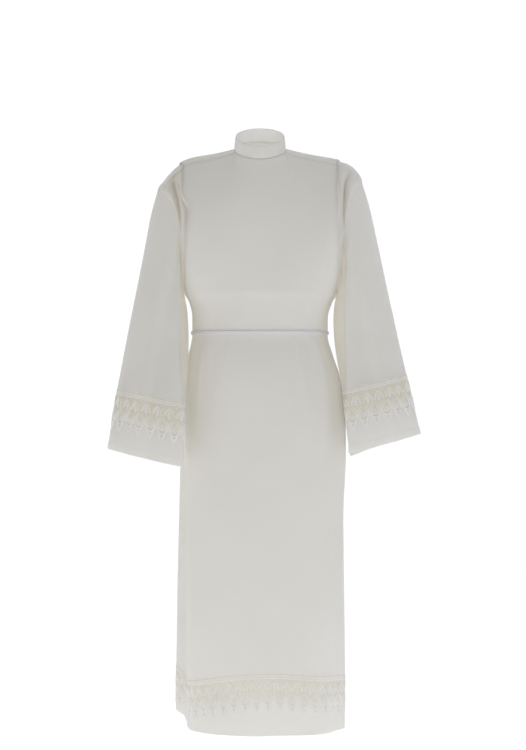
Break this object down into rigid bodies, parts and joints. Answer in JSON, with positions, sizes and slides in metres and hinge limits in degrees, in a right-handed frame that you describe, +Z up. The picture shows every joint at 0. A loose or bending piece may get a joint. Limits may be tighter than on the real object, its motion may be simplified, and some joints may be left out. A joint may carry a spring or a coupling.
{
  "type": "alb",
  "caption": "Long off-white priest's alb as worn, with a stand collar, shoulder pleats, wide sleeves, a waist cord and lace bands at the cuffs and hem.",
  "frame": {"origin": "between the shoulders at the base of the neck, where the wearer's neck and shoulders hold the robe up", "axes": "+Z up, the front faces -Y, +X is the wearer's left side"},
  "size_m": [0.76, 0.3235, 1.4702],
  "materials": {
    "robe_cloth": "matte plain-woven polyester",
    "lace_thread": "matte embroidered lace",
    "cord_thread": "soft braided cord"
  },
  "bodies": {
    "root": {"front_bodice": "robe_cloth", "front_skirt": "robe_cloth", "back_bodice": "robe_cloth", "back_skirt": "robe_cloth", "left_upper_sleeve": "robe_cloth", "left_lower_sleeve": "robe_cloth", "left_cuff": "robe_cloth", "right_upper_sleeve": "robe_cloth", "right_lower_sleeve": "robe_cloth", "right_cuff": "robe_cloth", "collar": "robe_cloth", "front_hem_lace": "lace_thread", "back_hem_lace": "lace_thread", "left_cuff_lace": "lace_thread", "right_cuff_lace": "lace_thread", "waist_cord": "cord_thread"}
  },
  "joints": []
}
